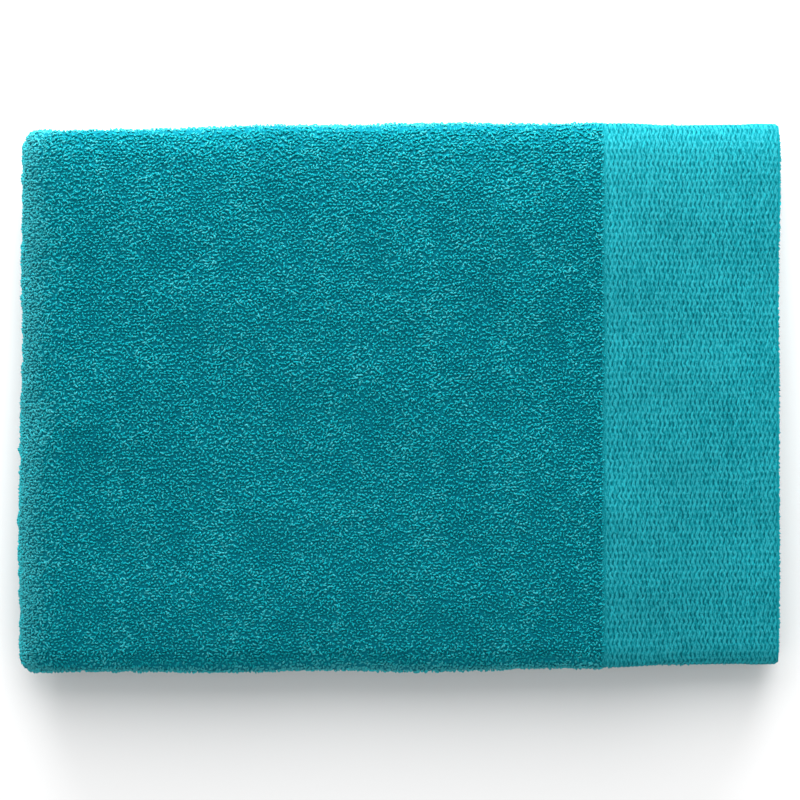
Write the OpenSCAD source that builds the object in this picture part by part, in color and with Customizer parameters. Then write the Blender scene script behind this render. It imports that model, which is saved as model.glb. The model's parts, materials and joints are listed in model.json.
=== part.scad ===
// Folded terry bath towel.
//
// One towel, folded in three across its width and then in half twice along its length, so that
// twelve plies lie on each other. A strip of three plies is called a layer. From the bottom up the
// layers are bottom, third, second and top. The bottom and third layers are the lower half; the
// second and top layers are the upper half, which opens like a book cover about the left fold.
//
// Origin: centre of the underside. +X runs along the towel to the hemmed end, +Y to the back long
// side and +Z up. All sizes are in millimetres.

/* [Towel] */
// Width of the towel laid flat, over its side hems
towel_w = 700; // [500:10:1000]
// Length of the towel laid flat, over its end hems
towel_l = 1300; // [900:10:1800]
// Thickness of one ply of terry, with its loops pressed down on both faces
terry_t = 3.4; // [2.4:0.1:5]

/* [Woven border] */
// Length of the woven border at each end of the towel, with its hem
border_l = 76; // [40:1:120]
// Thickness of one ply of woven border
border_t = 2; // [1.2:0.1:3]
// Width of the hem turned under at the end of the border
end_hem_w = 12; // [8:1:20]
// Length over which the stack sinks from terry to border
border_slope_l = 55; // [20:1:70]

/* [Side hems] */
// Width of the hem along each long side of the towel
side_hem_w = 9; // [6:1:15]
// How far the side hem of the tucked ply stops short of its fold
tuck_setback = 2; // [0:0.5:8]
// How far the side hem of the flap ply stops short of its fold
flap_setback = 3; // [0:0.5:8]

/* [Folding] */
// How far the top end hem stops short of the fold below it
top_hem_setback = 2; // [0:0.5:6]
// How far the second end hem stops short of the fold below it
second_hem_setback = 4; // [0:0.5:8]
// Space between the two halves, so that they swing clear of each other
half_gap = 0.3; // [0.3:0.1:1]
// How far the third and second layers stop short of the outer two at each long side
inner_layer_inset = 1; // [0:0.5:4]

/* [Stitching] */
// Length of one stitch
stitch_l = 2.6; // [1.5:0.1:4]
// Distance from one stitch to the next
stitch_pitch = 3.6; // [2.5:0.1:5]
// Thickness of the sewing thread
thread_d = 0.5; // [0.3:0.1:0.8]

/* [Hidden] */
$fn = 96;
PI_LEN = 3.14159265;

// Number of plies in a layer, which lie between the two long folds
PLIES = 3;
layer_t = PLIES * terry_t;

// Radii of the long folds: the tucked ply is inside the front fold, and nothing in the back one
front_fold_r = 1.5 * terry_t;
back_fold_r = terry_t;

// Radii of the cross folds: one layer inside the other at the left, one layer at the right
left_fold_r = 2 * layer_t;
right_fold_r = layer_t;

// The folded width comes from the cloth's width less what the two long folds take
long_folds_cloth = PI_LEN * (front_fold_r - terry_t / 2) + PI_LEN * (back_fold_r - terry_t / 2);
folded_w = (towel_w - long_folds_cloth + tuck_setback + flap_setback) / 3
         + front_fold_r + back_fold_r;

// The folded length comes from the cloth's length less what the three cross folds take, each
// measured along the middle of its layer
cross_folds_cloth = PI_LEN * (right_fold_r + left_fold_r + right_fold_r - 1.5 * layer_t);
folded_l = (towel_l - cross_folds_cloth + top_hem_setback + second_hem_setback
         + 4 * left_fold_r + 2 * right_fold_r) / 4;

// Heights of the lower half, the split and the whole stack
lower_top_z = 2 * layer_t;
split_z = lower_top_z + half_gap / 2;
upper_base_z = lower_top_z + half_gap;
stack_t = upper_base_z + 2 * layer_t;

// Places along X: fold centres, and where the borders and hems begin and end
left_fold_x = -folded_l / 2 + left_fold_r;
right_fold_x = folded_l / 2 - right_fold_r;
top_end_x = folded_l / 2 - top_hem_setback;
second_end_x = folded_l / 2 - second_hem_setback;

// Number of straight pieces that follow the slope from terry to border
SLOPE_STEPS = 4;

// Clearance that keeps a cut running past the faces it makes
CUT = 1;

TERRY = [0.08, 0.52, 0.57];
TERRY_INNER = [0.07, 0.45, 0.50];
BORDER = [0.16, 0.62, 0.67];
HEM = [0.13, 0.57, 0.62];
THREAD = [0.30, 0.70, 0.74];

// Layers are counted 0 to 3 from the bottom, and the plies of a layer are named by what they do.
BOTTOM = 0;
THIRD = 1;
SECOND = 2;
TOP = 3;
FACE = 0;
TUCKED = 1;
FLAP = 2;

// ---- Where each ply lies ----

// The face ply is outermost in the top and bottom layers, and faces the split in the inner two
function face_is_up(layer) = layer == TOP || layer == THIRD;

// Height in its layer of a ply, counted 0 to 2 from the layer's underside
function ply_level(layer, ply) = face_is_up(layer) ? PLIES - 1 - ply : ply;

// Height of a layer's underside where the cloth is terry
function layer_z(layer) = layer < SECOND ? layer * layer_t : upper_base_z + (layer - SECOND) * layer_t;

function ply_z(layer, ply) = layer_z(layer) + ply_level(layer, ply) * terry_t;

// Outermost Y of a layer's long folds
function layer_edge_y(layer) =
  folded_w / 2 - (layer == THIRD || layer == SECOND ? inner_layer_inset : 0);
function front_centre_y(layer) = -layer_edge_y(layer) + front_fold_r;
function back_centre_y(layer) = layer_edge_y(layer) - back_fold_r;

// First and last Y of a ply's flat part, where a tucked or flap ply ends in a side hem
function ply_y0(layer, ply) = front_centre_y(layer) + (ply == TUCKED ? tuck_setback + side_hem_w : 0);
function ply_y1(layer, ply) = back_centre_y(layer) - (ply == FLAP ? flap_setback + side_hem_w : 0);

// Where the terry of a layer's end stops: at the right fold, or at the woven border
function end_x(layer) = layer == TOP ? top_end_x : second_end_x;
function border_x(layer) = end_x(layer) - border_l;
function terry_x1(layer) = layer < SECOND ? right_fold_x : border_x(layer);

// ---- The border's slope ----

// Share of the way down the slope at a distance along it, level at both ends
function ease(s) = s <= 0 ? 0 : s >= 1 ? 1 : s * s * (3 - 2 * s);

// Thickness of a ply of the upper half at a place along X; both layers sink together
function upper_ply_t(x) =
  terry_t - (terry_t - border_t) * ease((x - border_x(TOP)) / border_slope_l);

// Height of the surface above a number of the upper half's plies
function upper_z(x, plies_below) = upper_base_z + plies_below * upper_ply_t(x);

function plies_under(layer, ply) = (layer - SECOND) * PLIES + ply_level(layer, ply);

// Places along X between which a ply's surface is straight
function slope_xs(x0, x1) = concat(
  [x0],
  [for (i = [0 : SLOPE_STEPS])
    let (x = border_x(TOP) + border_slope_l * i / SLOPE_STEPS) if (x > x0 && x < x1) x],
  [x1]
);

// ---- Shapes ----

// A flat slab between two corners
module slab(x0, x1, y0, y1, z, t) {
  translate([x0, y0, z]) cube([x1 - x0, y1 - y0, t]);
}

// Cloth of the upper half between two levels, counted in plies, following the slope
module sloped_slab(x0, x1, y0, y1, level0, level1) {
  xs = slope_xs(x0, x1);
  last = len(xs) - 1;
  outline = concat(
    [for (x = xs) [x, upper_z(x, level0)]],
    [for (i = [last : -1 : 0]) [xs[i], upper_z(xs[i], level1)]]
  );
  translate([0, y1, 0]) rotate([90, 0, 0]) linear_extrude(y1 - y0) polygon(outline);
}

// Quarter, half or whole ring section, cut from a disc by the box given by its low and high corners
module ring_part(r_out, r_in, low, high) {
  difference() {
    intersection() {
      circle(r = r_out);
      translate(low) square(high - low);
    }
    if (r_in > 0) circle(r = r_in);
  }
}

// Extrudes a YZ outline along X
module along_x(x0, x1) {
  translate([x0, 0, 0]) rotate([90, 0, 90]) linear_extrude(x1 - x0) children();
}

// Extrudes an XZ outline along Y, over the folded width less an inset at each side
module along_y(inset = 0) {
  half_w = folded_w / 2 - inset;
  translate([0, half_w, 0]) rotate([90, 0, 0]) linear_extrude(2 * half_w) children();
}

// One flat ply of terry
module terry_ply(layer, ply) {
  x1 = terry_x1(layer);
  slab(left_fold_x, x1, ply_y0(layer, ply), ply_y1(layer, ply), ply_z(layer, ply), terry_t);
}

// Front long fold: the face ply turns round the tucked ply's hem and becomes the flap ply
module front_fold(layer) {
  r = front_fold_r;
  along_x(left_fold_x, terry_x1(layer))
    translate([front_centre_y(layer), layer_z(layer) + layer_t / 2])
      ring_part(r, r - terry_t, [-r - CUT, -r - CUT], [0, r + CUT]);
}

// Back long fold: the face ply turns straight back and becomes the tucked ply
module back_fold(layer) {
  r = back_fold_r;
  centre_z = layer_z(layer) + (face_is_up(layer) ? layer_t - r : r);
  along_x(left_fold_x, terry_x1(layer))
    translate([back_centre_y(layer), centre_z])
      ring_part(r, 0, [0, -r - CUT], [r + CUT, r + CUT]);
}

// Side hems of one layer: the tucked ply's beside the front fold, the flap ply's beside the back one
module side_hems(layer) {
  x1 = terry_x1(layer);
  tucked_y1 = ply_y0(layer, TUCKED);
  flap_y0 = ply_y1(layer, FLAP);
  slab(left_fold_x, x1, tucked_y1 - side_hem_w, tucked_y1, ply_z(layer, TUCKED), terry_t);
  slab(left_fold_x, x1, flap_y0, flap_y0 + side_hem_w, ply_z(layer, FLAP), terry_t);
}

// Part of the right fold between two radii, which joins the bottom and third layers
module right_fold(r_out, r_in, inset) {
  along_y(inset)
    translate([right_fold_x, layer_t])
      ring_part(r_out, r_in, [0, -r_out - CUT], [r_out + CUT, r_out + CUT]);
}

// Quarter of the left fold between two radii, below or above the split
module left_fold_lower(r_out, r_in) {
  along_y()
    translate([left_fold_x, lower_top_z])
      ring_part(r_out, r_in, [-r_out - CUT, -r_out - CUT], [0, 0]);
}

module left_fold_upper(r_out, r_in) {
  along_y()
    translate([left_fold_x, upper_base_z])
      ring_part(r_out, r_in, [-r_out - CUT, 0], [0, r_out + CUT]);
}

// One ply of a layer's woven border, flat part only, between two places along X
module border_ply(layer, ply, x0, x1) {
  level = plies_under(layer, ply);
  y0 = front_centre_y(layer) + (ply == TUCKED ? tuck_setback : 0);
  y1 = back_centre_y(layer) - (ply == FLAP ? flap_setback : 0);
  sloped_slab(x0, x1, y0, y1, level, level + 1);
}

// Turned edges of a layer's border at its two long folds, over the levels that each fold joins
module border_edges(layer, x0, x1) {
  low = (layer - SECOND) * PLIES;
  back_low = face_is_up(layer) ? low + 1 : low;
  front_y = front_centre_y(layer);
  back_y = back_centre_y(layer);
  sloped_slab(x0, x1, front_y - border_t, front_y, low, low + PLIES);
  sloped_slab(x0, x1, back_y, back_y + border_t, back_low, back_low + 2);
}

module border_face(layer) {
  x0 = border_x(layer);
  x1 = end_x(layer) - end_hem_w;
  border_ply(layer, FACE, x0, x1);
  border_edges(layer, x0, x1);
}

module border_tucks(layer) {
  x0 = border_x(layer);
  x1 = end_x(layer) - end_hem_w;
  border_ply(layer, TUCKED, x0, x1);
  border_ply(layer, FLAP, x0, x1);
}

// The end hem runs right across the towel, so folded in three it lies in all three plies
module end_hem(layer) {
  x0 = end_x(layer) - end_hem_w;
  x1 = end_x(layer);
  border_ply(layer, FACE, x0, x1);
  border_ply(layer, TUCKED, x0, x1);
  border_ply(layer, FLAP, x0, x1);
  border_edges(layer, x0, x1);
}

// Row of stitches in the face ply that holds the hem, sunk into the cloth's outer face
module hem_stitching(layer) {
  x = end_x(layer) - end_hem_w + thread_d;
  surface = upper_z(x, plies_under(layer, FACE) + (face_is_up(layer) ? 1 : 0));
  z = face_is_up(layer) ? surface - thread_d : surface;
  count = floor((back_centre_y(layer) - front_centre_y(layer)) / stitch_pitch);
  row_l = (count - 1) * stitch_pitch + stitch_l;
  for (i = [0 : count - 1])
    slab(x, x + thread_d, i * stitch_pitch - row_l / 2, i * stitch_pitch - row_l / 2 + stitch_l,
         z, thread_d);
}

// ---- Sub-parts of the lower half ----

module bottom_face_ply() { color(TERRY) terry_ply(BOTTOM, FACE); }
module bottom_tucked_ply() { color(TERRY_INNER) terry_ply(BOTTOM, TUCKED); }
module bottom_flap_ply() { color(TERRY_INNER) terry_ply(BOTTOM, FLAP); }
module bottom_front_fold() { color(TERRY) front_fold(BOTTOM); }
module bottom_back_fold() { color(TERRY) back_fold(BOTTOM); }
module third_face_ply() { color(TERRY) terry_ply(THIRD, FACE); }
module third_tucked_ply() { color(TERRY_INNER) terry_ply(THIRD, TUCKED); }
module third_flap_ply() { color(TERRY_INNER) terry_ply(THIRD, FLAP); }
module third_front_fold() { color(TERRY) front_fold(THIRD); }
module third_back_fold() { color(TERRY) back_fold(THIRD); }

module right_fold_face_ply() { color(TERRY) right_fold(layer_t, layer_t - terry_t, 0); }
module right_fold_inner_plies() {
  color(TERRY_INNER) right_fold(layer_t - terry_t, 0, inner_layer_inset);
}

module left_fold_outer_lower() { color(TERRY) left_fold_lower(left_fold_r, layer_t); }
module left_fold_inner_lower() { color(TERRY_INNER) left_fold_lower(layer_t, 0); }

module lower_side_hems() {
  color(HEM) {
    side_hems(BOTTOM);
    side_hems(THIRD);
  }
}

// ---- Sub-parts of the upper half ----

module second_face_ply() { color(TERRY) terry_ply(SECOND, FACE); }
module second_tucked_ply() { color(TERRY_INNER) terry_ply(SECOND, TUCKED); }
module second_flap_ply() { color(TERRY_INNER) terry_ply(SECOND, FLAP); }
module second_front_fold() { color(TERRY) front_fold(SECOND); }
module second_back_fold() { color(TERRY) back_fold(SECOND); }
module top_face_ply() { color(TERRY) terry_ply(TOP, FACE); }
module top_tucked_ply() { color(TERRY_INNER) terry_ply(TOP, TUCKED); }
module top_flap_ply() { color(TERRY_INNER) terry_ply(TOP, FLAP); }
module top_front_fold() { color(TERRY) front_fold(TOP); }
module top_back_fold() { color(TERRY) back_fold(TOP); }

module left_fold_outer_upper() { color(TERRY) left_fold_upper(left_fold_r, layer_t); }
module left_fold_inner_upper() { color(TERRY_INNER) left_fold_upper(layer_t, 0); }

module upper_side_hems() {
  color(HEM) {
    side_hems(SECOND);
    side_hems(TOP);
  }
}

module second_border() { color(BORDER) border_face(SECOND); }
module second_border_tucks() { color(BORDER) border_tucks(SECOND); }
module second_end_hem() { color(HEM) end_hem(SECOND); }
module second_hem_stitching() { color(THREAD) hem_stitching(SECOND); }
module top_border() { color(BORDER) border_face(TOP); }
module top_border_tucks() { color(BORDER) border_tucks(TOP); }
module top_end_hem() { color(HEM) end_hem(TOP); }
module top_hem_stitching() { color(THREAD) hem_stitching(TOP); }

bottom_face_ply();
bottom_tucked_ply();
bottom_flap_ply();
bottom_front_fold();
bottom_back_fold();
third_face_ply();
third_tucked_ply();
third_flap_ply();
third_front_fold();
third_back_fold();
right_fold_face_ply();
right_fold_inner_plies();
left_fold_outer_lower();
left_fold_inner_lower();
lower_side_hems();
second_face_ply();
second_tucked_ply();
second_flap_ply();
second_front_fold();
second_back_fold();
top_face_ply();
top_tucked_ply();
top_flap_ply();
top_front_fold();
top_back_fold();
left_fold_outer_upper();
left_fold_inner_upper();
upper_side_hems();
second_border();
second_border_tucks();
second_end_hem();
second_hem_stitching();
top_border();
top_border_tucks();
top_end_hem();
top_hem_stitching();
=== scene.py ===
import json
import math

import bpy
import numpy as np
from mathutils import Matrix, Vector


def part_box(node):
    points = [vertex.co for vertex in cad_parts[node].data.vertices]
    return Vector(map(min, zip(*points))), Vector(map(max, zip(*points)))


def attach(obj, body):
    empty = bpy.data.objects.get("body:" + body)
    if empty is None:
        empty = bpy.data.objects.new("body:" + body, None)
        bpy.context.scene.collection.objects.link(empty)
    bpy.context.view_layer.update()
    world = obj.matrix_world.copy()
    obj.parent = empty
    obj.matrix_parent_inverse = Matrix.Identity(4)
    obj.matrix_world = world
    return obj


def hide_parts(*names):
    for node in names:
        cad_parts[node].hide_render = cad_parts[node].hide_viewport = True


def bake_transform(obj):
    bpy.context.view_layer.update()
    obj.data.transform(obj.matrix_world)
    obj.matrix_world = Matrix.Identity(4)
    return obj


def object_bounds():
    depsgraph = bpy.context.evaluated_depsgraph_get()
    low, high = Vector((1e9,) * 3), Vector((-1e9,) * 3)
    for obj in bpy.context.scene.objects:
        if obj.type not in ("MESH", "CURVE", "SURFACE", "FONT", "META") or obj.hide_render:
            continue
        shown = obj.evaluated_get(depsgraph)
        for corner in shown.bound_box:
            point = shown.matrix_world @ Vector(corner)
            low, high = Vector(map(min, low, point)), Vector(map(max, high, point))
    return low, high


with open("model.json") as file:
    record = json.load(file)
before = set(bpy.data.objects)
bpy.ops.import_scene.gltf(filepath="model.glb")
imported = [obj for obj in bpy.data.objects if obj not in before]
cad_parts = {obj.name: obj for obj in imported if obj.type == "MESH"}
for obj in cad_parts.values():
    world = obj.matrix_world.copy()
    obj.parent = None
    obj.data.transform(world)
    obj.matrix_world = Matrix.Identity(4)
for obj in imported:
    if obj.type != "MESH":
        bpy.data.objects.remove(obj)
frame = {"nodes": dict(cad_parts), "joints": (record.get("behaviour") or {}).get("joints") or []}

CAD_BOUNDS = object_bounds()
MM = 0.001
QUARTER = math.pi / 2
RNG = np.random.default_rng(2026)

# ---- Sizes of the CAD towel, in metres ----

PLIES = 3
BOTTOM, THIRD, SECOND, TOP = range(4)
LAYER_NAMES = ["bottom", "third", "second", "top"]

LOW, HIGH = (np.array(corner) for corner in CAD_BOUNDS)
WIDTH = HIGH[1] - LOW[1]
HEIGHT = HIGH[2] - LOW[2]

FACE_LOW, FACE_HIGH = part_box("bottom_face_ply")
PLY = FACE_HIGH[2] - FACE_LOW[2]
LAYER = PLIES * PLY
LEFT_FOLD_X = FACE_LOW[0]
RIGHT_FOLD_X = FACE_HIGH[0]
LOWER_TOP = 2 * LAYER
UPPER_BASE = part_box("second_face_ply")[0][2]

HINGE = next(j for j in frame["joints"] if j["name"] == "left_fold_hinge")
HINGE_X, HINGE_Z = HINGE["pos_m"][0], HINGE["pos_m"][2]

EDGE_Y = [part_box(f"{name}_back_fold")[1][1] for name in LAYER_NAMES]
BORDER_X = {SECOND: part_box("second_border")[0][0], TOP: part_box("top_border")[0][0]}
HEM_X = {SECOND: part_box("second_end_hem")[0][0], TOP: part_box("top_end_hem")[0][0]}
END_X = {SECOND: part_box("second_end_hem")[1][0], TOP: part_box("top_end_hem")[1][0]}
HEM_LOW, HEM_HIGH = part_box("top_end_hem")
BORDER_PLY = (HEM_HIGH[2] - HEM_LOW[2]) / PLIES

# Long folds: the front one holds the tucked ply, the back one nothing
FRONT_R = 1.5 * PLY
BACK_R = PLY
# These four are sizes in the CAD design that no node's box gives on its own
BORDER_SLOPE = 55 * MM
TUCK_SETBACK = 2 * MM
FLAP_SETBACK = 3 * MM
SIDE_HEM = 9 * MM

# ---- Sizes of the softer cloth that is built on it ----

CORE_HALF = 0.6 * MM
BORDER_HALF = 0.45 * MM
HEM_HALF = 0.92 * MM
# Radius of the round at a hem's edge
HEM_ROUND = 1.2 * MM
# The folds' cores stop short of the split by this, so that the loops can cover their ends
OUTER_FOLD_SHORT = 0.9 * MM
INNER_FOLD_SHORT = 1.8 * MM

# Spacing of the mesh's points: on flat terry, on flat border, and along an arc
TERRY_STEP = 6 * MM
BORDER_STEP = 3 * MM
ARC_STEP = 1.6 * MM
# Faces round each long fold and across each side hem
FOLD_FACES = 10
SIDE_HEM_FACES = 6


def ease(s):
    """Smooth step from 0 to 1."""
    s = np.clip(s, 0, 1)
    return s * s * (3 - 2 * s)


def near(distance, reach):
    """1 at an edge, falling smoothly to 0 at reach from it."""
    return np.clip(1 - distance / reach, 0, 1) ** 2


def upper_ply(x):
    """Thickness of a ply of the upper half, which thins from terry to border."""
    return PLY - (PLY - BORDER_PLY) * ease((x - BORDER_X[TOP]) / BORDER_SLOPE)


# ---- The cloth as a surface: u along the towel, q across it, h out of it ----

class Line:
    """A flat stretch of a layer's middle line. The normal points to the face ply."""

    def __init__(self, layer, x0, x1):
        self.length = abs(x1 - x0)
        self.layer, self.x0, self.way = layer, x0, math.copysign(1, x1 - x0)
        self.up = 1 if layer in (TOP, THIRD) else -1

    def at(self, u):
        """x, z, normal x and z, direction x and z, and ply thickness at u."""
        x = self.x0 + self.way * u
        if self.layer in (BOTTOM, THIRD):
            ply = np.full_like(x, PLY)
            z = (self.layer + 0.5) * LAYER + 0 * x
        else:
            ply = upper_ply(x)
            z = UPPER_BASE + (self.layer - SECOND + 0.5) * PLIES * ply
        zero = 0 * x
        return x, z, zero, zero + self.up, zero + self.way, zero, ply


class Arc:
    """A curved stretch. side is 1 where the face ply is outside the bend, and -1 inside."""

    def __init__(self, x, z, radius, start, end, side):
        self.length = radius * abs(end - start)
        self.x, self.z, self.radius, self.start, self.side = x, z, radius, start, side
        self.way = math.copysign(1, end - start)

    def at(self, u):
        """The same seven values as a line gives."""
        a = self.start + self.way * u / self.radius
        ca, sa = np.cos(a), np.sin(a)
        x, z = self.x + self.radius * ca, self.z + self.radius * sa
        return (x, z, self.side * ca, self.side * sa, -self.way * sa, self.way * ca,
                np.full_like(x, PLY))


class Section:
    """Cross-section of a layer: tucked ply, back fold, face ply, front fold, flap ply.

    y is across the towel, w counts plies from the layer's middle to the face ply, and
    (ny, nw) points out of the cloth on the side that is outside at the folds.
    """

    def __init__(self, edge):
        self.front = -edge + FRONT_R
        self.back = edge - BACK_R
        self.tuck_y = self.front + TUCK_SETBACK
        self.flap_y = self.back - FLAP_SETBACK
        self.lengths = [self.back - self.tuck_y, math.pi * PLY / 2, self.back - self.front,
                        math.pi * PLY, self.flap_y - self.front]
        self.starts = np.cumsum([0] + self.lengths)
        self.length = self.starts[-1]

    def at(self, q, ply):
        s = self.starts
        grow = ply / PLY
        y, w, ny, nw = (np.zeros_like(q) for _ in range(4))

        tucked = q < s[1]
        y[tucked], nw[tucked] = self.tuck_y + q[tucked], -1

        back = (q >= s[1]) & (q < s[2])
        a = (q[back] - s[1]) / (PLY / 2)
        y[back] = self.back + np.sin(a) * PLY / 2 * grow[back]
        w[back] = 0.5 - 0.5 * np.cos(a)
        ny[back], nw[back] = np.sin(a), -np.cos(a)

        face = (q >= s[2]) & (q < s[3])
        y[face], w[face], nw[face] = self.back - (q[face] - s[2]), 1, 1

        front = (q >= s[3]) & (q < s[4])
        a = (q[front] - s[3]) / PLY
        y[front] = self.front - np.sin(a) * PLY * grow[front]
        w[front] = np.cos(a)
        ny[front], nw[front] = -np.sin(a), np.cos(a)

        flap = q >= s[4]
        y[flap], w[flap], nw[flap] = self.front + (q[flap] - s[4]), -1, -1
        return y, w, ny, nw


class Path:
    """A layer's lines and arcs end to end. edge is the outermost Y of its long folds."""

    def __init__(self, edge, *legs):
        self.legs, self.section = legs, Section(edge)
        self.starts = np.cumsum([0] + [leg.length for leg in legs])
        self.length = self.starts[-1]

    def at(self, u):
        out = np.zeros((7,) + np.shape(u))
        for i, leg in enumerate(self.legs):
            last = i == len(self.legs) - 1
            here = (u >= self.starts[i]) & ((u < self.starts[i + 1]) | last)
            if i == 0:
                here |= u < 0
            out[:, here] = leg.at(u[here] - self.starts[i])
        return out


def surface(path, u, q, h=0.0):
    """Points and unit frames of the cloth at u, q and height h above its middle."""
    x, z, nx, nz, tx, tz, ply = path.at(u)
    y, w, ny, nw = path.section.at(q, ply)
    normal = np.stack([nx * nw, ny, nz * nw], -1)
    along = np.stack([tx, 0 * tx, tz], -1)
    across = np.cross(normal, along)
    middle = np.stack([x + nx * w * ply, y, z + nz * w * ply], -1)
    return middle + normal * np.asarray(h)[..., None], along, across, normal


# ---- The runs of cloth ----

LOWER_PATH = Path(
    EDGE_Y[BOTTOM],
    Arc(LEFT_FOLD_X, LOWER_TOP, 1.5 * LAYER, math.pi, 3 * QUARTER, 1),
    Line(BOTTOM, LEFT_FOLD_X, RIGHT_FOLD_X),
    Arc(RIGHT_FOLD_X, LAYER, LAYER / 2, -QUARTER, QUARTER, 1),
    Line(THIRD, RIGHT_FOLD_X, LEFT_FOLD_X))
TOP_PATH = Path(
    EDGE_Y[TOP],
    Arc(LEFT_FOLD_X, UPPER_BASE, 1.5 * LAYER, math.pi, QUARTER, 1),
    Line(TOP, LEFT_FOLD_X, END_X[TOP]))
SECOND_PATH = Path(EDGE_Y[SECOND], Line(SECOND, LEFT_FOLD_X, END_X[SECOND]))

# Inside the left fold: the inner layers' bend, seen only at the two long sides, and the face
# ply along the split
CREASE_END_X = HINGE_X + 1.8 * MM
INNER_LOWER_PATH = Path(
    EDGE_Y[THIRD], Arc(LEFT_FOLD_X, LOWER_TOP, LAYER / 2, 3 * QUARTER, math.pi, -1))
INNER_UPPER_PATH = Path(
    EDGE_Y[SECOND], Arc(LEFT_FOLD_X, UPPER_BASE, LAYER / 2, QUARTER, math.pi, -1))
CREASE_LOWER_PATH = Path(EDGE_Y[THIRD], Line(THIRD, LEFT_FOLD_X, CREASE_END_X))
CREASE_UPPER_PATH = Path(EDGE_Y[SECOND], Line(SECOND, LEFT_FOLD_X, CREASE_END_X))

# Over the split, on the outside of the left fold: this angle to each side of it
WEB_ANGLE = 0.28
WEB_PATH = Path(
    EDGE_Y[TOP],
    Arc(LEFT_FOLD_X, HINGE_Z, 1.5 * LAYER, math.pi + WEB_ANGLE, math.pi - WEB_ANGLE, 1))


def steps(a, b, step):
    """Even places from a to b, at most a step apart."""
    return np.linspace(a, b, max(2, math.ceil(abs(b - a) / step) + 1))


def u_samples(path, start, end, flat_step):
    """Places along a path, close together round its folds."""
    stops = [np.array([start])]
    for i, leg in enumerate(path.legs):
        a, b = max(start, path.starts[i]), min(end, path.starts[i + 1])
        if b > a:
            stops.append(steps(a, b, ARC_STEP if isinstance(leg, Arc) else flat_step)[1:])
    return np.concatenate(stops)


def q_samples(section, flat_step, q0=0.0, q1=None):
    """Places across the cloth, close together round the folds."""
    stops = [section.starts[0]]
    for i in range(len(section.lengths)):
        a, b = section.starts[i], section.starts[i + 1]
        n = FOLD_FACES if i in (1, 3) else max(2, math.ceil((b - a) / flat_step))
        stops += list(np.linspace(a, b, n + 1)[1:])
    stops = np.array(stops)
    q1 = section.length if q1 is None else q1
    inside = stops[(stops > q0) & (stops < q1)]
    return np.concatenate([[q0], inside, [q1]])


def u_at_x(path, x):
    """Place along a path whose last leg runs to +X, at that x."""
    return path.starts[-2] + x - path.legs[-1].x0


def face_span(section, tuck=3 * MM):
    """The part of a section that shows, from back fold to front fold, and a tuck past each."""
    return section.starts[1] - tuck, section.starts[4] + tuck


# ---- Softness: one smooth field bends every piece, so neighbours stay neighbours ----

def waves(a, b, seed, pitch, fan=1.0):
    """Smooth pseudo-random waves of about that pitch, most of them between -1 and 1.

    They run in all directions, or with a small fan mostly along a.
    """
    rng = np.random.default_rng(seed)
    total = 0 * a
    count = 7
    for _ in range(count):
        angle, phase = rng.uniform(0, 2 * math.pi, 2)
        angle = math.pi + (angle - math.pi) * fan
        k = 2 * math.pi / (pitch * rng.uniform(0.7, 1.6))
        total = total + np.sin(k * (a * math.cos(angle) + b * math.sin(angle)) + phase)
    return total / math.sqrt(count)


# Each edge rolls off by a tight shoulder and a flatter slope, or by a slope only. The pairs
# are (drop, reach)
BACK_ROLL = ((3.6 * MM, 14 * MM), (4.6 * MM, 46 * MM))
FRONT_ROLL = ((2.6 * MM, 11 * MM), (1.8 * MM, 40 * MM))
FOLD_ROLL = ((2.2 * MM, 14 * MM), (2.2 * MM, 45 * MM))
END_ROLL = ((1.6 * MM, 26 * MM),)

# How far things move, at most: the long sides
SIDE_WANDER = 0.45 * MM
SIDE_BUMPS = 0.3 * MM
UPHILL = 0.0065
DRAW_IN = 1.5 * MM
TUCK_IN = 2.4 * MM
# the fold end and the hemmed end
FOLD_SKEW = 1.1 * MM
FOLD_WANDER = 0.5 * MM
FOLD_BUMPS = 0.45 * MM
HEM_WANDER = 0.3 * MM
# and the corners, wide at the fold end and tight at the hemmed end
CORNER_CUT, CORNER_REACH = 3.2 * MM, 10 * MM
HEM_CORNER_CUT, HEM_CORNER_REACH = 0.5 * MM, 5 * MM
# Nothing sinks below this
FLOOR_GAP = 0.05 * MM


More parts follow.
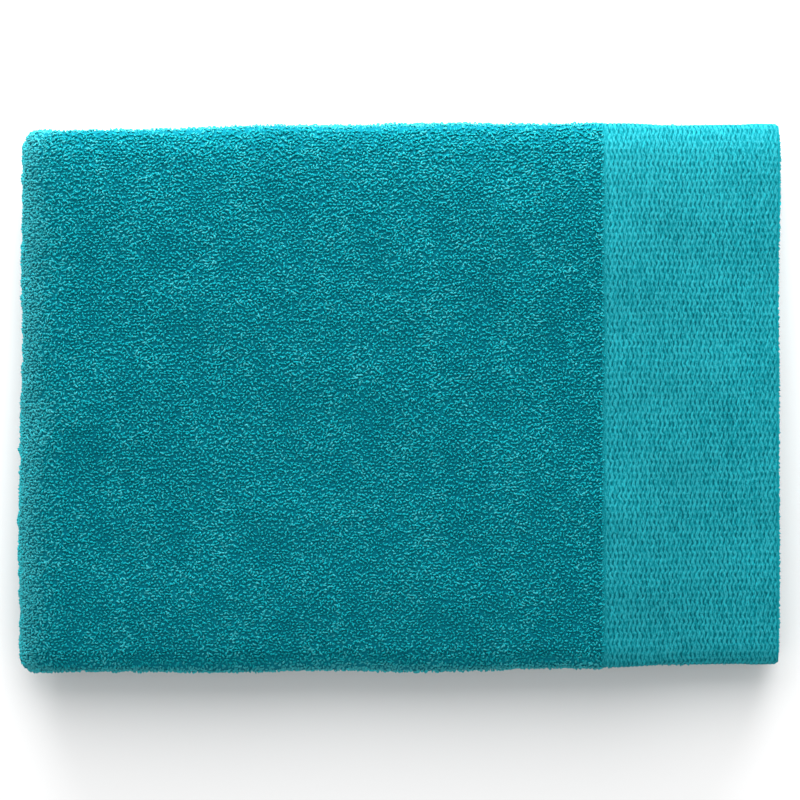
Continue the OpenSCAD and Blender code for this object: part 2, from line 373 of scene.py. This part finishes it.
def soften(p):
    """Move points of the crisp CAD towel to where they lie on a soft one."""
    x, y, z = p[..., 0], p[..., 1], p[..., 2]
    from_side = np.clip(WIDTH / 2 - np.abs(y), 0, None)
    from_back = np.clip(WIDTH / 2 - y, 0, None)
    from_front = np.clip(WIDTH / 2 + y, 0, None)
    from_left = np.clip(x - LOW[0], 0, None)
    from_right = np.clip(HIGH[0] - x, 0, None)

    # The edges roll off and the faces ripple, most at the top of the stack
    rise = np.clip(z / HEIGHT, 0, 1.1)
    drop = 0 * z
    for distance, rolls in ((from_back, BACK_ROLL), (from_front, FRONT_ROLL),
                            (from_left, FOLD_ROLL), (from_right, END_ROLL)):
        for amount, reach in rolls:
            drop = drop + amount * near(distance, reach)
    ripple = 0.45 * MM * waves(x, y, 11, 90 * MM) + 0.2 * MM * waves(x, y, 12, 35 * MM)
    new_z = z - rise * (drop - ripple)

    # The long sides wander a little, differently at each level, and run slightly uphill to
    # the right; the back one draws in towards the fold
    wander = SIDE_WANDER * waves(x, 9 * z, 21, 70 * MM)
    draw_in = DRAW_IN * ease((-40 * MM - x) / (60 * MM)) * near(from_back, 80 * MM)
    # Under the narrower border the lower layers draw in, so its edge overhangs them
    tuck_in = (TUCK_IN * ease((LOWER_TOP + PLY / 2 - z) / LAYER)
               * ease((x - BORDER_X[TOP]) / (15 * MM)))
    bumps = (SIDE_BUMPS * waves(x, 3 * z, 22, 11 * MM) * near(from_side, 14 * MM)
             * ease((BORDER_X[TOP] - x) / (8 * MM)))
    outward = near(from_side, 60 * MM) * (wander - tuck_in) + bumps
    new_y = y + np.sign(y) * outward + UPHILL * x - draw_in

    # The corners are cut round, and both ends run slightly askew and wander
    new_x = x + CORNER_CUT * near(from_side, CORNER_REACH) * near(from_left, 45 * MM)
    new_x = new_x - (HEM_CORNER_CUT * near(from_side, HEM_CORNER_REACH)
                     * near(from_right, 12 * MM))
    new_x = new_x + near(from_left, 60 * MM) * (
        FOLD_SKEW * (y / WIDTH) * 2 + FOLD_WANDER * waves(y, 0 * y, 31, 80 * MM))
    new_x = new_x + near(from_left, 14 * MM) * FOLD_BUMPS * waves(y, 2 * z, 33, 10 * MM)
    new_x = new_x + near(from_right, 40 * MM) * HEM_WANDER * waves(y, 0 * y, 32, 90 * MM)
    return np.stack([new_x, new_y, np.maximum(new_z, FLOOR_GAP)], -1)


# ---- Mesh helpers ----

def make_mesh(name, points, quads, material, tint=None):
    """A smooth piece of four-sided faces, with a tint for each point if it has one."""
    mesh = bpy.data.meshes.new(name)
    points = np.asarray(points, np.float32).reshape(-1, 3)
    quads = np.asarray(quads, np.int32).reshape(-1, 4)
    mesh.vertices.add(len(points))
    mesh.vertices.foreach_set("co", points.ravel())
    mesh.loops.add(quads.size)
    mesh.loops.foreach_set("vertex_index", quads.ravel())
    mesh.polygons.add(len(quads))
    mesh.polygons.foreach_set("loop_start", np.arange(len(quads), dtype=np.int32) * 4)
    mesh.polygons.foreach_set("use_smooth", np.full(len(quads), True))
    mesh.update(calc_edges=True)
    mesh.validate()
    if tint is not None:
        layer = mesh.attributes.new("tint", "FLOAT", "POINT")
        layer.data.foreach_set("value", np.asarray(tint, np.float32).ravel())
    mesh.materials.append(material)
    piece = bpy.data.objects.new(name, mesh)
    bpy.context.scene.collection.objects.link(piece)
    return piece


def grid_quads(rows, columns, base=0, flip=False):
    """Faces of a grid of points, whose first point has the index base."""
    i, j = np.meshgrid(np.arange(rows - 1), np.arange(columns - 1), indexing="ij")
    a = base + i * columns + j
    quads = np.stack([a, a + columns, a + columns + 1, a + 1], -1).reshape(-1, 4)
    return quads[:, ::-1] if flip else quads


def tube_quads(count, rings, sides):
    """Faces of that many open tubes, each a row of rings of points."""
    i, j = np.meshgrid(np.arange(rings - 1), np.arange(sides), indexing="ij")
    k = (j + 1) % sides
    quad = np.stack([i * sides + j, i * sides + k, (i + 1) * sides + k, (i + 1) * sides + j], -1)
    return quad.reshape(-1, 4)[None] + (np.arange(count) * rings * sides)[:, None, None]


def closed_sheet(name, path, us, qs, half, material, height=0.0):
    """Cloth between u and q lists, half thick on each side of its middle, with edges."""
    us, qs = np.asarray(us), np.asarray(qs)
    u, q = np.meshgrid(us, qs, indexing="ij")
    half = np.broadcast_to(half, u.shape)
    outer = surface(path, u, q, height + half)[0]
    inner = surface(path, u, q, height - half)[0]
    rows, columns = u.shape
    count = rows * columns
    ring = np.concatenate([
        np.arange(columns), np.arange(1, rows) * columns + columns - 1,
        (rows - 1) * columns + np.arange(columns - 2, -1, -1),
        np.arange(rows - 2, 0, -1) * columns])
    after = np.roll(ring, -1)
    quads = [grid_quads(rows, columns), grid_quads(rows, columns, count, flip=True),
             np.stack([ring, after, after + count, ring + count], -1)]
    points = np.concatenate([outer.reshape(-1, 3), inner.reshape(-1, 3)])
    return make_mesh(name, soften(points), np.concatenate(quads), material)


def place(piece, body, nodes=()):
    """Fix a piece to a body, in place of the CAD nodes that it stands for."""
    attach(piece, body)
    if nodes:
        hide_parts(*nodes)
    return piece


def bend_at_crease(piece):
    """Bake a piece's place into its mesh, leaving it fixed to neither half."""
    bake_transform(piece)


# ---- Materials ----

# Scale and detail of the noise for broad dye variation and for single fibres
BROAD_NOISE = (38, 3)
FINE_NOISE = (2600, 2)
# What shifts the shade: the broad noise with and without a tint, the tint, and all of it
BROAD_WEIGHT_TINTED, BROAD_WEIGHT_PLAIN = 0.24, 0.48
TINT_WEIGHT = 0.68
SHADE_OFFSET = -0.04
# Places of the middle and light shades, from 0 to 1
MIDDLE_STOP, LIGHT_STOP = 0.48, 0.8
# How much of their red the middle shade and the painted fold highlight keep
MIDDLE_RED, FOLD_HIGHLIGHT_RED = 0.15, 0.25
BUMP_STRENGTH, BUMP_HEIGHT = 0.35, 0.12 * MM
SHEEN_ROUGHNESS = 0.2
SHEEN_COLOUR = (0.25, 0.94, 0.98, 1)
COTTON_SPECULAR = 0.05


def node_material(name):
    material = bpy.data.materials.new(name)
    material.use_nodes = True
    return material, material.node_tree.nodes["Principled BSDF"]


def cotton(name, dark, light, tinted, roughness=(0.75, 0.95), sheen=0.15, fibre=0.36,
           fold_highlight_gain=1.15):
    """Cotton: shades mixed by a per-point tint (with painted shade and painted highlight), by
    fibre and by broad dye variation, with fibre bump.

    fibre is the weight of the finest noise, and the last argument says how much lighter than
    the light shade the painted highlight is where the cloth turns over a fold.
    """
    material, shader = node_material(name)
    new, link = material.node_tree.nodes.new, material.node_tree.links.new
    coordinates = new("ShaderNodeTexCoord")

    def noise(scale, detail):
        node = new("ShaderNodeTexNoise")
        node.inputs["Scale"].default_value = scale
        node.inputs["Detail"].default_value = detail
        link(coordinates.outputs["Object"], node.inputs["Vector"])
        return node.outputs["Fac"]

    def add(value, weight, before):
        """value * weight + before, where before is a number or a socket."""
        node = new("ShaderNodeMath")
        node.operation = "MULTIPLY_ADD"
        node.inputs[1].default_value = weight
        link(value, node.inputs[0])
        if isinstance(before, float):
            node.inputs[2].default_value = before
        else:
            link(before, node.inputs[2])
        return node.outputs["Value"]

    broad = noise(*BROAD_NOISE)
    fine = noise(*FINE_NOISE)
    if tinted:
        tint = new("ShaderNodeAttribute")
        tint.attribute_name = "tint"
        total = add(broad, BROAD_WEIGHT_TINTED, SHADE_OFFSET - fibre / 2)
        total = add(tint.outputs["Fac"], TINT_WEIGHT, total)
    else:
        total = add(broad, BROAD_WEIGHT_PLAIN, SHADE_OFFSET)
    total = add(fine, fibre, total)

    # The ramp runs from painted shade through saturated middle shades to a pale painted
    #     # highlight at the crowns, and ends in a painted highlight, saturated again, round the
    #     folds
    ramp = new("ShaderNodeValToRGB")
    stops = ramp.color_ramp.elements
    stops[0].color = (*dark, 1)
    stops[1].color = (FOLD_HIGHLIGHT_RED * light[0], fold_highlight_gain * light[1], fold_highlight_gain * light[2], 1)
    middle = [0.4 * d + 0.6 * l for d, l in zip(dark, light)]
    stops.new(MIDDLE_STOP).color = (MIDDLE_RED * middle[0], middle[1], middle[2], 1)
    stops.new(LIGHT_STOP).color = (*light, 1)
    link(total, ramp.inputs["Fac"])
    link(ramp.outputs["Color"], shader.inputs["Base Color"])

    rough = new("ShaderNodeMapRange")
    rough.inputs["To Min"].default_value = roughness[0]
    rough.inputs["To Max"].default_value = roughness[1]
    link(fine, rough.inputs["Value"])
    link(rough.outputs["Result"], shader.inputs["Roughness"])

    bump = new("ShaderNodeBump")
    bump.inputs["Strength"].default_value = BUMP_STRENGTH
    bump.inputs["Distance"].default_value = BUMP_HEIGHT
    link(fine, bump.inputs["Height"])
    link(bump.outputs["Normal"], shader.inputs["Normal"])

    shader.inputs["Sheen Weight"].default_value = sheen
    shader.inputs["Sheen Roughness"].default_value = SHEEN_ROUGHNESS
    shader.inputs["Sheen Tint"].default_value = SHEEN_COLOUR
    shader.inputs["Specular IOR Level"].default_value = COTTON_SPECULAR
    return material


# Loops: their dark shade serves as painted shade at the feet, their light shade as a painted
# highlight at the crowns
LOOP_MATERIAL = cotton("terry_loop_cotton", (0.0, 0.165, 0.205), (0.036, 0.32, 0.36), True,
                       sheen=0.15, fibre=0.24, fold_highlight_gain=1.5)
# The ground cloth is painted darker than the loops' dye, as the shade between the loops
SHADED_GROUND_MATERIAL = cotton("terry_ground_painted_shade", (0.0, 0.10, 0.14), (0.0, 0.17, 0.22), False,
                       sheen=0.0)
# The border's darkest tints are the painted shade of its grooves
BORDER_MATERIAL = cotton("woven_border_cotton", (0.0, 0.07, 0.093), (0.024, 0.265, 0.31), True,
                         sheen=0.2, fibre=0.72)
HEM_MATERIAL = cotton("hem_cotton", (0.0, 0.17, 0.205), (0.010, 0.27, 0.32), False)
THREAD_MATERIAL = cotton("sewing_thread", (0.0, 0.20, 0.24), (0.01, 0.29, 0.34), False,
                         roughness=(0.45, 0.65), sheen=0.05)

# ---- Terry loops ----

LOOP_PITCH_U, LOOP_PITCH_Q = 1.55 * MM, 1.25 * MM
# How far a loop stands from its place in the rows, in pitches
SCATTER_U, SCATTER_Q = 0.20, 0.22
LOOP_TIP = PLY / 2
# Radius of the yarn, and how far its ends turn in past a half circle, in radians
YARN = 0.42 * MM
TURN_IN = 0.42
# Rings along a loop and sides round its yarn: on the top face, and where it hardly shows
FINE_LOOP = (6, 4)
PLAIN_LOOP = (5, 3)
# Most triangles in one piece of loops. A larger piece would lose faces when it is
# exported
PIECE_TRIANGLES = 196000


def loop_mesh_data(base, along, across, normal, patch, rings, sides):
    """Arches of yarn standing on the cloth, as one array of points and one of quads.

    The tint holds painted shade at the feet and a painted highlight at the crown, and more
    painted highlight where the cloth turns over a fold. Where patch is high the loops are larger
    and lighter.
    """
    n = len(base)
    turn = RNG.normal(0.35, 0.7, n)
    half_span = RNG.uniform(0.28, 0.68, n) * MM * (1 + 0.22 * patch)
    yarn = YARN * RNG.uniform(0.85, 1.15, n) * (1 + 0.06 * patch)
    top = LOOP_TIP * RNG.uniform(0.72, 1.12, n)
    lean = RNG.normal(0, 0.4, n)
    curl = RNG.normal(0, 0.25, n) * MM
    foot = CORE_HALF * 0.8
    centre_h = foot + 0.25 * MM

    # d runs from foot to foot and e to the side; f is the angle over the arch
    d = along * np.cos(turn)[:, None] + across * np.sin(turn)[:, None]
    e = np.cross(normal, d)
    phi = np.linspace(-TURN_IN, math.pi + TURN_IN, rings)
    theta = np.arange(sides) / sides * 2 * math.pi + 0.4
    points = np.empty((n, rings, sides, 3))
    for i, f in enumerate(phi):
        a = half_span * math.cos(f)
        rise = top - yarn - centre_h
        c = centre_h + rise * math.sin(f) if 0 < f < math.pi else np.full(n, foot)
        b = lean * (c - foot) + curl * math.sin(2 * f)
        middle = base + d * a[:, None] + e * b[:, None] + normal * c[:, None]
        out = d * math.cos(f) + normal * math.sin(f)
        for j, th in enumerate(theta):
            points[:, i, j] = middle + yarn[:, None] * (out * math.cos(th) + e * math.sin(th))

    # Painted shade and highlight along each loop: dark at the feet, light at the crown
    lift = 0.15 + 0.85 * np.clip(np.sin(phi), 0, 1) ** 1.2
    shade = RNG.uniform(0.35, 1, n) ** 1.6 * (1 + 0.16 * patch)
    tint = shade[:, None] * lift[None, :]
    # Painted highlight: the tint lightens where the cloth tilts away from flat, round the folds
    painted_fold_highlight = np.clip(1 - np.abs(normal[:, 2:3]), 0, 1) ** 0.4
    tint = np.repeat((tint + 0.8 * painted_fold_highlight * (1.4 - tint)).ravel(), sides)
    return points, tube_quads(n, rings, sides), tint


def terry(name, path, u0, u1, q0, q1, body, density=1.0, loop=PLAIN_LOOP):
    """Rows of loops over a stretch of cloth, in pieces small enough to keep every face.

    density multiplies the number of rows. With no body, the pieces are fixed to neither half.
    """
    rings, sides = loop
    rows = max(1, round(density * (u1 - u0) / LOOP_PITCH_U))
    columns = max(1, round((q1 - q0) / LOOP_PITCH_Q))
    i, j = np.meshgrid(np.arange(rows), np.arange(columns), indexing="ij")
    shift = 0.5 * (j % 2)
    u = u0 + (i + 0.25 + shift) * (u1 - u0) / rows
    q = q0 + (j + 0.5) * (q1 - q0) / columns
    u = (u + RNG.normal(0, SCATTER_U, u.shape) * LOOP_PITCH_U).ravel()
    q = (q + RNG.normal(0, SCATTER_Q, q.shape) * LOOP_PITCH_Q).ravel()
    base, along, across, normal = surface(path, u, q)
    patch = np.clip(0.6 * waves(u, q, 51, 11 * MM) + 0.6 * waves(u, q, 52, 26 * MM), -1.5, 1.5)
    pieces = []
    parts = math.ceil(len(u) * 2 * (rings - 1) * sides / PIECE_TRIANGLES)
    for part, index in enumerate(np.array_split(np.arange(len(u)), parts)):
        points, quads, tint = loop_mesh_data(
            base[index], along[index], across[index], normal[index], patch[index], rings, sides)
        piece = make_mesh(f"{name}_{part + 1}", soften(points), quads, LOOP_MATERIAL, tint=tint)
        if body:
            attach(piece, body)
        else:
            bend_at_crease(piece)
        pieces.append(piece)
    return pieces


# ---- Cloth and side hems ----

def cloth(name, path, u0, u1, body, nodes, material=SHADED_GROUND_MATERIAL,
          half=CORE_HALF, step=TERRY_STEP):
    """The woven ground of a run of cloth, between its side hems."""
    us = u_samples(path, u0, u1, step)
    qs = q_samples(path.section, step, SIDE_HEM, path.section.length - SIDE_HEM)
    piece = closed_sheet(name, path, us, qs, half, material)
    return place(piece, body, nodes)


def side_hems(name, path, u0, u1, body, nodes=()):
    """The hem along each long side, thick and rounded. The tucked one stands for the nodes."""
    length = path.section.length
    us = u_samples(path, u0, u1, TERRY_STEP)
    made = []
    for side, q0, q1 in (("tucked", 0, SIDE_HEM), ("flap", length - SIDE_HEM, length)):
        qs = np.linspace(q0, q1, SIDE_HEM_FACES + 1)
        edge = np.clip(np.minimum(qs - q0, q1 - qs) / HEM_ROUND, 0, 1)
        half = HEM_HALF * (0.45 + 0.55 * np.sqrt(edge))[None, :]
        piece = closed_sheet(f"{name}_{side}", path, us, qs, half, HEM_MATERIAL)
        place(piece, body, nodes if side == "tucked" else ())
        made.append(piece)
    return made


# ---- Woven border, end hem and stitches ----

# The border's ribs: lines across the towel that swing from side to side, deepest at the
# turns, so that each row of strokes sits between those of the next
RIB_PITCH, RIB_PERIOD = 1.99 * MM, 5.75 * MM
RIB_SWING = 0.50 * MM
RIB_DEPTH = 0.5 * MM
# Half the width of a groove, in pitches
GROOVE = 0.17
RIB_RNG = np.random.default_rng(8)
RIB_DEPTHS = RIB_RNG.uniform(0.5, 1.1, (97, 97))
RIB_SHIFTS = RIB_RNG.uniform(-0.12, 0.12, (97, 97))
RIB_SHADES = RIB_RNG.uniform(0.85, 1.25, (97, 97))
# Spacing of the ribbed face's points, along and across: on top, and on the layer below
TOP_RIB_STEPS = (0.24 * MM, 0.47 * MM)
SECOND_RIB_STEPS = (0.30 * MM, 0.70 * MM)

# The stitch and its pitch are the CAD design's
STITCH, STITCH_PITCH, THREAD_R = 2.6 * MM, 3.6 * MM, 0.16 * MM
STITCH_RINGS, STITCH_SIDES = 6, 5


def ribs(s, q):
    """Height and tint of the woven ribs at s along the towel and q across it, about 0 to 1; the
    tint is painted shade in and beside the grooves, times a shade for each rib.

    Each stroke of each groove has its own depth, and its own small shift along the towel.
    """
    turn = q / RIB_PERIOD + 0.05 * waves(s, q, 41, 30 * MM) + 0.03 * waves(s, q, 47, 6 * MM)
    swing = np.sin(2 * math.pi * turn)
    drift = 0.07 * waves(s, q, 42, 16 * MM) + 0.05 * waves(s, q, 43, 4 * MM)
    phase = (s + RIB_SWING * swing) / RIB_PITCH + drift
    groove = np.round(phase).astype(int) % len(RIB_DEPTHS)
    row = np.floor(2 * turn).astype(int) % len(RIB_DEPTHS)
    reach = np.abs(swing)
    away = phase - np.round(phase) + RIB_SHIFTS[groove, row] * reach
    height = 1 - np.exp(-(away / GROOVE) ** 2) * RIB_DEPTHS[groove, row] * (0.2 + 0.8 * reach)
    rib = np.floor(phase).astype(int) % len(RIB_SHADES)
    # Painted shade: the tint darkens with each groove's depth, and beside each groove, lightest
    # along a rib's middle
    groove_painted_shade = 0.5 + 0.5 * np.cos(2 * math.pi * away)
    return height, height * RIB_SHADES[rib, row] * (1 - (0.12 + 0.24 * reach) * groove_painted_shade)


def border_face(layer, path, u0, u1):
    """The ribbed outer face of a woven border, over its face ply and both long folds."""
    q0, q1 = face_span(path.section, 4 * MM)
    step_u, step_q = TOP_RIB_STEPS if layer == TOP else SECOND_RIB_STEPS
    us = steps(u0 - 1.2 * MM, u1 - 0.7 * MM, step_u)
    all_q = steps(q0, q1, step_q)
    made = []
    parts = 2 if layer == TOP else 1
    cuts = np.linspace(0, len(all_q) - 1, parts + 1).astype(int)
    for part in range(parts):
        qs = all_q[cuts[part]:cuts[part + 1] + 1]
        u, q = np.meshgrid(us, qs, indexing="ij")
        s = u - u0
        # The face rises over the hem, closes down at its end, and is plain where it begins
        base = BORDER_HALF + 0.25 * MM + 0.42 * MM * ease((u - (u1 - 17 * MM)) / (7 * MM))
        lip = ease((us[-1] - u) / (0.8 * MM))
        plain = 0.25 + 0.75 * ease((s - 0.2 * MM) / (1.4 * MM))
        # Painted highlight: the tint lightens where the cloth tilts away from flat, round the
        # folds
        painted_edge_highlight = 1 - np.abs(surface(path, u, q)[3][..., 2])
        rib, shade = ribs(s, q)
        rib = 1 + (rib - 1) * plain
        shade = 0.6 + (shade - 0.6) * plain
        h = base * (0.55 + 0.45 * lip) + RIB_DEPTH * (rib - 1) * lip
        points = soften(surface(path, u, q, h)[0])
        fleck = (0.84 + 0.10 * waves(s, q, 45, 2.2 * MM) + 0.30 * waves(s, q, 46, 0.95 * MM, 0.2)
                 + RNG.normal(0, 0.30, s.shape))
        # Random flecks and rib shades, with painted shade in the grooves and painted highlight
        # round the folds
        tint = fleck * shade * (1 + 0.5 * painted_edge_highlight)
        piece = make_mesh(f"{LAYER_NAMES[layer]}_border_face_{part + 1}", points,
                          grid_quads(*u.shape), BORDER_MATERIAL, tint=tint)
        place(piece, "upper_half")
        made.append(piece)
    return made


def end_hem(layer, path, u0, u1):
    """The cloth's end turned under: thicker than the border, with a rounded edge."""
    us = np.concatenate([
        steps(u0, u1 - HEM_ROUND, 2 * MM),
        u1 - HEM_ROUND * (1 - np.sin(np.linspace(0, QUARTER, 7)[1:]))])
    qs = q_samples(path.section, 2 * MM)
    edge = np.clip((u1 - us) / HEM_ROUND, 0, 1)
    half = HEM_HALF * (0.25 + 0.75 * np.sqrt(1 - (1 - edge) ** 2))[:, None]
    piece = closed_sheet(f"{LAYER_NAMES[layer]}_hem", path, us, qs, 0.76 * half, HEM_MATERIAL,
                         height=-0.24 * half)
    return place(piece, "upper_half", [f"{LAYER_NAMES[layer]}_end_hem"])


def hem_stitches(layer, path, hem_u):
    """A row of stitches along the hem, each a short arched thread."""
    section = path.section
    qs = np.arange(section.starts[2] + 2 * MM, section.starts[3] - 2 * MM, STITCH_PITCH)
    along_q = np.linspace(-0.5, 0.5, STITCH_RINGS)
    q = qs[:, None] + along_q[None, :] * STITCH
    u = np.full_like(q, hem_u + 0.8 * MM)
    lift = 0.20 * MM * (1 - (2 * along_q) ** 2)
    height = BORDER_HALF + 0.42 * MM + lift[None, :]
    base, along, _, normal = surface(path, u, q, np.broadcast_to(height, q.shape))
    theta = np.arange(STITCH_SIDES) / STITCH_SIDES * 2 * math.pi
    r = THREAD_R * np.sqrt(np.clip(1 - (2 * along_q) ** 2, 0.08, 1))
    ring = (along[:, :, None] * np.cos(theta)[:, None]
            + normal[:, :, None] * np.sin(theta)[:, None])
    points = base[:, :, None] + ring * r[None, :, None, None]
    quads = tube_quads(len(qs), STITCH_RINGS, STITCH_SIDES)
    piece = make_mesh(f"{LAYER_NAMES[layer]}_hem_stitches", soften(points), quads,
                      THREAD_MATERIAL)
    return place(piece, "upper_half", [f"{LAYER_NAMES[layer]}_hem_stitching"])


# ---- Lower half ----

def lower_half():
    """The bottom and third layers, with the folds that join them: cloth, pile and hems."""
    path = LOWER_PATH
    nodes = [n for n in frame["nodes"] if n.startswith(("bottom_", "third_", "right_fold_"))]
    ground = cloth("lower_cloth", path, OUTER_FOLD_SHORT, path.length, "lower_half",
                   nodes + ["left_fold_outer_lower"])
    hems = side_hems("lower_side_hem", path, OUTER_FOLD_SHORT, path.length, "lower_half",
                     ["lower_side_hems"])
    q0, q1 = face_span(path.section)
    pile = []
    for i, (name, density) in enumerate((("left_fold_lower_pile", 1.3), ("bottom_pile", 0.6),
                                         ("right_fold_pile", 1.8), ("third_pile", 0.85))):
        pile += terry(name, path, path.starts[i], path.starts[i + 1], q0, q1, "lower_half",
                      density)
    return ground, pile + hems


# ---- Upper half ----

def upper_layer(layer, path, start, nodes):
    """The top or the second layer: terry, border, end hem and stitches."""
    name = LAYER_NAMES[layer]
    border_u, hem_u, end_u = (u_at_x(path, x) for x in
                              (BORDER_X[layer], HEM_X[layer], END_X[layer]))
    q0, q1 = face_span(path.section)
    loop = FINE_LOOP if layer == TOP else PLAIN_LOOP

    terry_cloth = cloth(f"{name}_terry_cloth", path, start, border_u, "upper_half", nodes)
    pile = []
    if path.starts[-2] > 0:
        pile += terry("left_fold_upper_pile", path, 0, path.starts[1], q0, q1, "upper_half",
                      1.3, loop)
    pile += terry(f"{name}_pile", path, path.starts[-2], border_u - 0.6 * MM, q0, q1,
                  "upper_half", loop=loop)
    hems = side_hems(f"{name}_side_hem", path, start, hem_u, "upper_half",
                     ["upper_side_hems"] if layer == TOP else ())

    border_cloth = cloth(f"{name}_border_cloth", path, border_u, hem_u, "upper_half",
                         [f"{name}_border", f"{name}_border_tucks"], BORDER_MATERIAL,
                         BORDER_HALF, BORDER_STEP)
    face = border_face(layer, path, border_u, end_u)

    hem = end_hem(layer, path, hem_u, end_u)
    stitches = hem_stitches(layer, path, hem_u)


# ---- Inside the left fold, and across its split ----

def inner_fold(half_name, path, body, node):
    """The inner layer's long folds, bent round inside the left fold, seen at the two sides."""
    s = path.section.starts
    reach = 6 * MM
    made = []
    for side, q0, q1 in (("back", s[1] - reach, s[2] + reach),
                         ("front", s[3] - reach, s[4] + reach),
                         ("flap_hem", s[5] - SIDE_HEM, s[5])):
        hem = side == "flap_hem"
        us = u_samples(path, 0, path.length - INNER_FOLD_SHORT, TERRY_STEP)
        qs = q_samples(path.section, TERRY_STEP / 2, q0, q1)
        piece = closed_sheet(f"inner_fold_{half_name}_{side}", path, us, qs,
                             HEM_HALF if hem else CORE_HALF,
                             HEM_MATERIAL if hem else SHADED_GROUND_MATERIAL)
        place(piece, body, [node] if side == "back" else ())
        made.append(piece)
        if not hem:
            made += terry(f"inner_fold_{half_name}_{side}_pile", path, 0, path.length, q0, q1,
                          body)
    return made


def crease(half_name, path, body):
    """The face ply's cloth along the split, from the inner fold out to the crease.

    It runs halfway down both long folds, over the cut ends of the folds below it.
    """
    section = path.section
    q0 = section.starts[2] - section.lengths[1] / 2
    q1 = section.starts[3] + section.lengths[3] / 2
    us = steps(0, path.length, TERRY_STEP / 2)
    qs = steps(q0, q1, TERRY_STEP)
    piece = closed_sheet(f"crease_{half_name}", path, us, qs, CORE_HALF, SHADED_GROUND_MATERIAL)
    place(piece, body)
    pile = terry(f"crease_{half_name}_pile", path, 0, path.length, q0, q1, body)


def crease_web():
    """The cloth and loops that bend at the crease itself, on the face ply's outer side."""
    path = WEB_PATH
    inset = 2 * MM
    q0, q1 = path.section.starts[2] + inset, path.section.starts[3] - inset
    us, qs = steps(0, path.length, 0.8 * MM), steps(q0, q1, 5 * MM)
    piece = closed_sheet("crease_web", path, us, qs, 0.22 * MM, SHADED_GROUND_MATERIAL,
                         height=0.5 * MM)
    bend_at_crease(piece)
    return [piece] + terry("crease_web_pile", path, 0, path.length, q0, q1, None, 2.2)


# ---- The towel ----

def build_towel():
    lower_cloth, lower_pieces = lower_half()
    inner_lower = inner_fold("lower", INNER_LOWER_PATH, "lower_half", "left_fold_inner_lower")
    inner_upper = inner_fold("upper", INNER_UPPER_PATH, "upper_half", "left_fold_inner_upper")
    crease("lower", CREASE_LOWER_PATH, "lower_half")
    crease("upper", CREASE_UPPER_PATH, "upper_half")
    web = crease_web()
    upper_layer(TOP, TOP_PATH, OUTER_FOLD_SHORT, [
        "top_face_ply", "top_tucked_ply", "top_flap_ply", "top_front_fold", "top_back_fold",
        "left_fold_outer_upper"])
    upper_layer(SECOND, SECOND_PATH, 0.0, [
        "second_face_ply", "second_tucked_ply", "second_flap_ply", "second_front_fold",
        "second_back_fold"])


build_towel()

# ---- Floor, light and camera ----

FLOOR_SIZE, FLOOR_Z = 8, -0.0002
FLOOR_WHITE, FLOOR_ROUGHNESS = 0.86, 0.9
# Each softbox: place, size and power in watts. Both look at the middle of the towel
SOFTBOXES = {"low_softbox": ((0, 0.62, 0.17), (1.0, 0.16), 14),
             "high_softbox": ((0, 0.9, 1.3), (1.6, 1.4), 18)}
LIGHT_TARGET = (0, 0, 0.03)
WORLD_STRENGTH = 0.73

# The camera looks straight down, from so far away that the lens hardly shows the height
CAMERA_X, CAMERA_Y, CAMERA_HEIGHT = -0.0005, -0.0013, 2.6
PICTURE_WIDTH = 0.3475
SENSOR = 36


def add_floor():
    bpy.ops.mesh.primitive_plane_add(size=FLOOR_SIZE, location=(0, 0, FLOOR_Z))
    floor = bpy.context.object
    floor.name = "floor"
    material, shader = node_material("floor_white")
    shader.inputs["Base Color"].default_value = (FLOOR_WHITE, FLOOR_WHITE, FLOOR_WHITE, 1)
    shader.inputs["Roughness"].default_value = FLOOR_ROUGHNESS
    shader.inputs["Specular IOR Level"].default_value = 0.0
    floor.data.materials.append(material)


def add_lights():
    for name, (location, size, power) in SOFTBOXES.items():
        data = bpy.data.lights.new(name, "AREA")
        data.shape, data.size, data.size_y, data.energy = "RECTANGLE", size[0], size[1], power
        light = bpy.data.objects.new(name, data)
        bpy.context.scene.collection.objects.link(light)
        light.location = location
        light.visible_camera = False
        direction = Vector(LIGHT_TARGET) - Vector(location)
        light.rotation_mode = "QUATERNION"
        light.rotation_quaternion = direction.to_track_quat("-Z", "Y")

    world = bpy.data.worlds.new("studio")
    bpy.context.scene.world = world
    world.use_nodes = True
    background = world.node_tree.nodes["Background"]
    background.inputs["Color"].default_value = (1, 1, 1, 1)
    background.inputs["Strength"].default_value = WORLD_STRENGTH


def add_camera():
    data = bpy.data.cameras.new("camera")
    data.sensor_width = SENSOR
    data.lens = SENSOR * CAMERA_HEIGHT / PICTURE_WIDTH
    data.clip_end = 50
    camera = bpy.data.objects.new("camera", data)
    bpy.context.scene.collection.objects.link(camera)
    # The picture's width holds at this level, a little below the towel's top
    camera.location = (CAMERA_X, CAMERA_Y, CAMERA_HEIGHT + HEIGHT * 0.7)
    bpy.context.scene.camera = camera


add_floor()
add_lights()
add_camera()
bpy.context.scene.view_settings.view_transform = "Standard"
bpy.context.scene.view_settings.look = "None"
